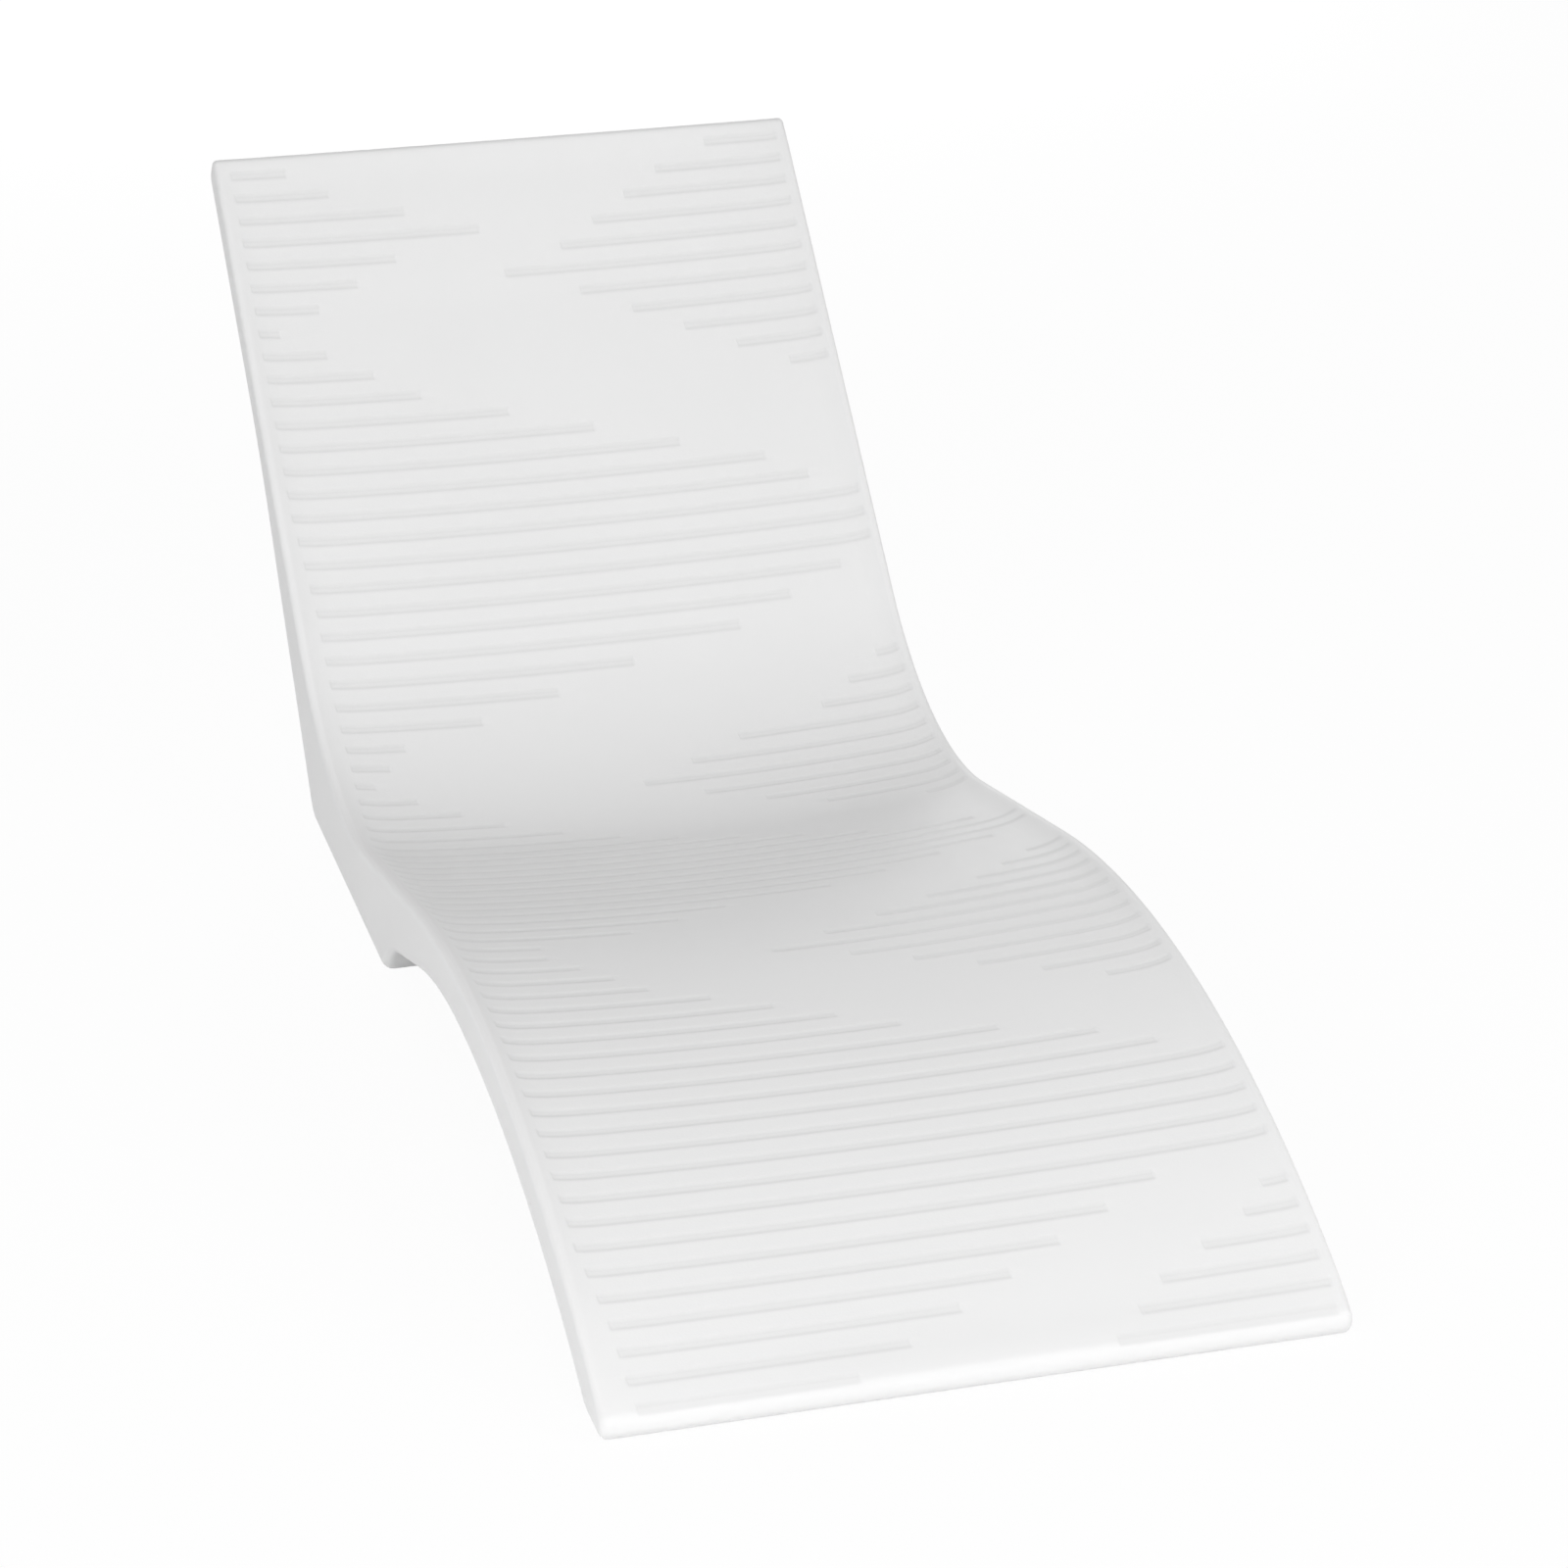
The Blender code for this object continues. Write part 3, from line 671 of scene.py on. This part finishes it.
def buildPlug(name, port, placement):
    size, level = portSizes, portLevels()
    head, core = port["head"], port["thread"] - size["threadDepth"]
    bpy.ops.object.select_all(action="DESELECT")
    middle = (level["headFoot"] + level["crown"]) / 2
    bpy.ops.mesh.primitive_cylinder_add(vertices=size["facets"], radius=head, depth=size["headThickness"],
                                        location=(0, 0, middle))
    plug = bpy.context.active_object
    plug.name = name
    # shank and its cup under the head
    editFaces(plug, lambda face: face.normal.z < -0.9)
    bpy.ops.mesh.inset(thickness=head - core)
    bpy.ops.mesh.extrude_region_move(TRANSFORM_OT_translate={"value": (0, 0, -size["shankLength"])})
    bpy.ops.mesh.inset(thickness=size["bushWall"] - size["threadDepth"])
    bpy.ops.mesh.extrude_region_move(TRANSFORM_OT_translate={"value": (0, 0, size["shankLength"] - 0.001)})
    # shallow ring in the crown
    editFaces(plug, lambda face: face.normal.z > 0.9 and face.center.z > middle)
    bpy.ops.mesh.inset(thickness=head * 0.09)
    bpy.ops.mesh.extrude_region_move(TRANSFORM_OT_translate={"value": (0, 0, -0.0008)})
    bpy.ops.object.mode_set(mode="OBJECT")
    roundOff(plug, 0.0005)
    # bar to turn it by, narrower towards its top
    length = 2 * (head - size["recessRoom"])
    height = size["gripHeight"] + 0.0014
    top = level["crown"] + size["gripHeight"]
    bpy.ops.object.select_all(action="DESELECT")
    bpy.ops.mesh.primitive_cube_add(size=1, location=(0, 0, top - height / 2))
    bar = bpy.context.active_object
    bpy.ops.object.mode_set(mode="EDIT")
    bpy.ops.mesh.select_all(action="SELECT")
    bpy.ops.transform.resize(value=(length, size["gripWidth"], height))
    editFaces(bar, lambda face: face.normal.z > 0.9)
    bpy.ops.transform.resize(value=(0.94, 0.80, 1))
    bpy.ops.object.mode_set(mode="OBJECT")
    roundOff(bar, 0.0013, segments=4)
    thread = addThread(name + "Thread", core - 0.0003, port["thread"] - 0.0001,
                       level["headFoot"] - size["shankLength"] + 0.0018, 3)
    plug = joined([plug, bar, thread], name)
    settle(plug, placement)
    return plug


def evenShading(shell, middles, reach):
    # the large flat faces round the ports keep their own direction where they meet small ones
    onlySelect(shell)
    bpy.ops.object.shade_smooth_by_angle(angle=math.radians(40))
    beside = shell.vertex_groups.new(name="besidePorts")
    beside.add([point.index for point in shell.data.vertices
                if any((point.co - middle).length < reach for middle in middles)], 1, "REPLACE")
    weighted = shell.modifiers.new("Even", "WEIGHTED_NORMAL")
    weighted.weight = 100
    weighted.keep_sharp = True
    weighted.vertex_group = beside.name
    applyModifier(shell, weighted)
    shell.vertex_groups.clear()


portPieces = {}
for portName, port in ports.items():
    placement = rearPlace(port["height"])
    cutPort(mouldedShell, port, placement)
    portPieces[portName + "PortBush"] = (buildBush(portName + "PortBush", port, placement),
                                         "lounger", portName + "_port_bush", "bush")
    portPieces[portName + "Gasket"] = (buildGasket(portName + "Gasket", port, placement),
                                       portName + "_seal", portName + "_gasket", "seal")
    portPieces[portName + "Plug"] = (buildPlug(portName + "Plug", port, placement),
                                     portName + "_stopper", portName + "_plug", "plug")
evenShading(mouldedShell, [rearPlace(port["height"]).translation for port in ports.values()], 0.09)
print("ports built:", ", ".join(sorted(portPieces)))


# materials

class Value:
    # an output socket that takes part in sums: each sum adds a Math node

    def __init__(self, paint, socket):
        self.paint = paint
        self.socket = socket

    def maths(self, operation, first, second, clamp=False):
        return self.paint.node("ShaderNodeMath", {"operation": operation, "use_clamp": clamp},
                               {0: first, 1: second})

    def __add__(self, other):
        return self.maths("ADD", self, other)

    def __radd__(self, other):
        return self.maths("ADD", other, self)

    def __sub__(self, other):
        return self.maths("SUBTRACT", self, other)

    def __rsub__(self, other):
        return self.maths("SUBTRACT", other, self)

    def __mul__(self, other):
        return self.maths("MULTIPLY", self, other)

    def __rmul__(self, other):
        return self.maths("MULTIPLY", other, self)

    def __truediv__(self, other):
        return self.maths("DIVIDE", self, other)

    def clamped(self):
        return self.maths("ADD", self, 0, clamp=True)

    def between(self, low, high):
        # 0 below low, 1 above high, soft between them
        return self.paint.node("ShaderNodeMapRange", {"interpolation_type": "SMOOTHSTEP"},
                               {"Value": self, "From Min": low, "From Max": high})


class Paint:
    # a material built around one Principled shader

    def __init__(self, name, finish):
        self.material = bpy.data.materials.new(name)
        self.material.use_nodes = True
        self.tree = self.material.node_tree
        self.shader = self.tree.nodes["Principled BSDF"]
        for socket, value in finish.items():
            self.shader.inputs[socket].default_value = value

    def node(self, kind, settings=None, sockets=None, output=0):
        made = self.tree.nodes.new(kind)
        for setting, value in (settings or {}).items():
            setattr(made, setting, value)
        for socket, value in (sockets or {}).items():
            self.feed(made.inputs[socket], value)
        return Value(self, made.outputs[output])

    def feed(self, socket, value):
        if isinstance(value, Value):
            self.tree.links.new(value.socket, socket)
        else:
            socket.default_value = value

    def place(self):
        return self.node("ShaderNodeTexCoord", output="Object")

    def noise(self, scale, detail=2, roughness=0.5):
        return self.node("ShaderNodeTexNoise", None, {"Vector": self.place(), "Scale": scale,
                                                     "Detail": detail, "Roughness": roughness}, "Fac")

    def mixColours(self, share, first, second):
        return self.node("ShaderNodeMix", {"data_type": "RGBA"}, {0: share, 6: first, 7: second}, 2)

    def bump(self, height, distance, below=None):
        sockets = {"Height": height, "Strength": 1.0, "Distance": distance}
        if below:
            sockets["Normal"] = below
        return self.node("ShaderNodeBump", None, sockets, "Normal")

    def finish(self, **sockets):
        for name, value in sockets.items():
            self.feed(self.shader.inputs[name.replace("_", " ")], value)
        return self.material


shellPlastic = {
    "colour": (0.865, 0.865, 0.865, 1),
    "shade": (0.848, 0.848, 0.848, 1),
    "scuffed": (0.70, 0.70, 0.69, 1),
    # colour of the painted shade in the grooves
    "grooved": (0.780, 0.780, 0.780, 1),
    "roughness": 0.56,
    "peelScale": 420,
    "peelDepth": 0.00007,
    "waveScale": 26,
    "waveDepth": 0.00008,
}


def mouldedPlastic():
    look = shellPlastic
    paint = Paint("whiteMouldedPlastic", {"IOR": 1.5, "Specular IOR Level": 0.30})
    height = paint.node("ShaderNodeSeparateXYZ", None, {0: paint.place()}, 2)
    cloud = paint.noise(3.2, 3)
    mottle = paint.noise(55, 3)
    scuffNoise = paint.noise(190, 4, 0.65).between(0.44, 0.62)
    scuff = (1 - height.between(0.0010, 0.0060)) * scuffNoise * 0.8
    colour = paint.mixColours(cloud.between(0.35, 0.70) * 0.7, look["colour"], look["shade"])
    # painted shade: the base colour darkens inside the grooves, heaviest on the head's side of each, where
    # shade would fall
    sunk = paint.node("ShaderNodeAttribute", {"attribute_name": "paintedGrooveShade"}, output="Fac")
    colour = paint.mixColours(sunk, colour, look["grooved"])
    colour = paint.mixColours(scuff, colour, look["scuffed"])
    wave = paint.bump(paint.noise(look["waveScale"], 1), look["waveDepth"])
    peel = paint.bump(paint.noise(look["peelScale"], 2), look["peelDepth"], wave)
    rough = look["roughness"] + (mottle - 0.5) * 0.14 + scuff * 0.25
    return paint.finish(Base_Color=colour, Roughness=rough.clamped(), Normal=peel)


plugNylon = {"colour": (0.80, 0.81, 0.81, 1), "worn": (0.86, 0.86, 0.86, 1), "roughness": 0.36}


def nylonFinish():
    look = plugNylon
    paint = Paint("plugNylon", {"IOR": 1.53})
    streak = paint.noise(60, 3)
    grain = paint.noise(1400, 2)
    scratch = paint.noise(260, 5, 0.7).between(0.55, 0.72)
    colour = paint.mixColours(scratch * 0.6, look["colour"], look["worn"])
    rough = look["roughness"] + (streak - 0.5) * 0.16 + scratch * 0.15
    return paint.finish(Base_Color=colour, Roughness=rough.clamped(), Normal=paint.bump(grain, 0.00002))


gasketRubber = {"colour": (0.028, 0.028, 0.030, 1), "dusted": (0.075, 0.073, 0.070, 1), "roughness": 0.72}


def rubberFinish():
    look = gasketRubber
    paint = Paint("gasketRubber", {"IOR": 1.52, "Specular IOR Level": 0.35})
    dust = paint.noise(170, 4, 0.6).between(0.48, 0.70)
    grain = paint.noise(1900, 2)
    colour = paint.mixColours(dust * 0.6, look["colour"], look["dusted"])
    rough = look["roughness"] + dust * 0.15
    return paint.finish(Base_Color=colour, Roughness=rough.clamped(), Normal=paint.bump(grain, 0.00003))


bushBrass = {"colour": (0.74, 0.57, 0.30, 1), "dull": (0.42, 0.33, 0.20, 1), "roughness": 0.30}


def brassFinish():
    look = bushBrass
    paint = Paint("bushBrass", {"Metallic": 1.0})
    tarnish = paint.noise(140, 4, 0.6).between(0.42, 0.68)
    grain = paint.noise(900, 3)
    colour = paint.mixColours(tarnish * 0.7, look["colour"], look["dull"])
    rough = look["roughness"] + tarnish * 0.22 + (grain - 0.5) * 0.10
    return paint.finish(Base_Color=colour, Roughness=rough.clamped(), Normal=paint.bump(grain, 0.00002))


def dress(piece, material):
    piece.data.materials.clear()
    piece.data.materials.append(material)


finishes = {"plug": nylonFinish(), "seal": rubberFinish(), "bush": brassFinish()}
dress(mouldedShell, mouldedPlastic())
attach(mouldedShell, "lounger")
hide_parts("shell")
for piece, body, node, slotName in portPieces.values():
    dress(piece, finishes[slotName])
    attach(piece, body)
    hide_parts(node)
print("materials set")


# floor, light and camera

studio = {
    "floorSize": 60,
    "floorColour": (0.94, 0.94, 0.94, 1),
    "floorGlow": 0.94,      # share of plain white that the camera sees in the floor
    "worldLight": 0.445,
    "lamps": {
        # name: place, aimed at, width, height, power
        "frontBox": ((3.51, -0.43, 3.84), (0, 0, 0.3), 3.0, 2.0, 26),
        "leftBox": ((3.32, -3.32, 2.01), (0, 0, 0.3), 3.0, 2.0, 88),
        "rightBox": ((3.23, 3.23, 2.33), (0, 0, 0.3), 3.0, 2.0, 78),
        "rearBox": ((-4.50, 0.60, 0.75), (-0.4, 0, 0.25), 3.0, 1.2, 52),
    },
}


def buildFloor():
    bpy.ops.object.select_all(action="DESELECT")
    bpy.ops.mesh.primitive_plane_add(size=studio["floorSize"], location=(0, 0, -0.0002))
    floor = bpy.context.active_object
    floor.name = "studioFloor"
    paint = Paint("paleFloor", {"Roughness": 0.9, "Specular IOR Level": 0.1})
    paint.shader.inputs["Base Color"].default_value = studio["floorColour"]
    tree = paint.tree
    seen = paint.node("ShaderNodeLightPath", output="Is Camera Ray")
    glow = paint.node("ShaderNodeEmission", None, {"Color": (1, 1, 1, 1), "Strength": 1.0}, "Emission")
    mixed = paint.node("ShaderNodeMixShader", None, {0: seen * studio["floorGlow"]}, 0)
    mixNode = mixed.socket.node
    tree.links.new(paint.shader.outputs[0], mixNode.inputs[1])
    tree.links.new(glow.socket, mixNode.inputs[2])
    tree.links.new(mixed.socket, tree.nodes["Material Output"].inputs["Surface"])
    dress(floor, paint.material)
    return floor


def buildWorld():
    world = bpy.data.worlds.new("studioWorld")
    bpy.context.scene.world = world
    world.use_nodes = True
    tree = world.node_tree
    background = tree.nodes["Background"]
    background.inputs["Color"].default_value = (1, 1, 1, 1)
    background.inputs["Strength"].default_value = studio["worldLight"]
    seenWhite = tree.nodes.new("ShaderNodeBackground")
    seenWhite.inputs["Color"].default_value = (1, 1, 1, 1)
    seenWhite.inputs["Strength"].default_value = 1.0
    path = tree.nodes.new("ShaderNodeLightPath")
    mix = tree.nodes.new("ShaderNodeMixShader")
    tree.links.new(path.outputs["Is Camera Ray"], mix.inputs[0])
    tree.links.new(background.outputs[0], mix.inputs[1])
    tree.links.new(seenWhite.outputs[0], mix.inputs[2])
    tree.links.new(mix.outputs[0], tree.nodes["World Output"].inputs["Surface"])


def buildLamps():
    for name, (place, aim, width, height, power) in studio["lamps"].items():
        data = bpy.data.lights.new(name, "AREA")
        data.shape = "RECTANGLE"
        data.size, data.size_y, data.energy = width, height, power
        lamp = bpy.data.objects.new(name, data)
        lamp.location = place
        lamp.rotation_euler = (Vector(aim) - Vector(place)).to_track_quat("-Z", "Y").to_euler()
        bpy.context.scene.collection.objects.link(lamp)


cameraView = {
    "place": (4.34895, -1.10799, 2.09564),
    "right": (0.26590, 0.96399, -0.00346),
    "down": (0.37777, -0.10750, -0.91964),
    "lens": 107.43,
}


def buildCamera():
    look = cameraView
    right = Vector(look["right"]).normalized()
    up = -Vector(look["down"])
    up = (up - right * up.dot(right)).normalized()
    back = right.cross(up)
    data = bpy.data.cameras.new("photoCamera")
    data.lens = look["lens"]
    data.sensor_width = 36
    data.clip_end = 200
    camera = bpy.data.objects.new("photoCamera", data)
    turn = Matrix((right, up, back)).transposed().to_4x4()
    camera.matrix_world = Matrix.Translation(look["place"]) @ turn
    bpy.context.scene.collection.objects.link(camera)
    bpy.context.scene.camera = camera


buildFloor()
buildWorld()
buildLamps()
buildCamera()
bpy.context.scene.view_settings.view_transform = "Standard"
print("studio set")

bpy.context.view_layer.update()
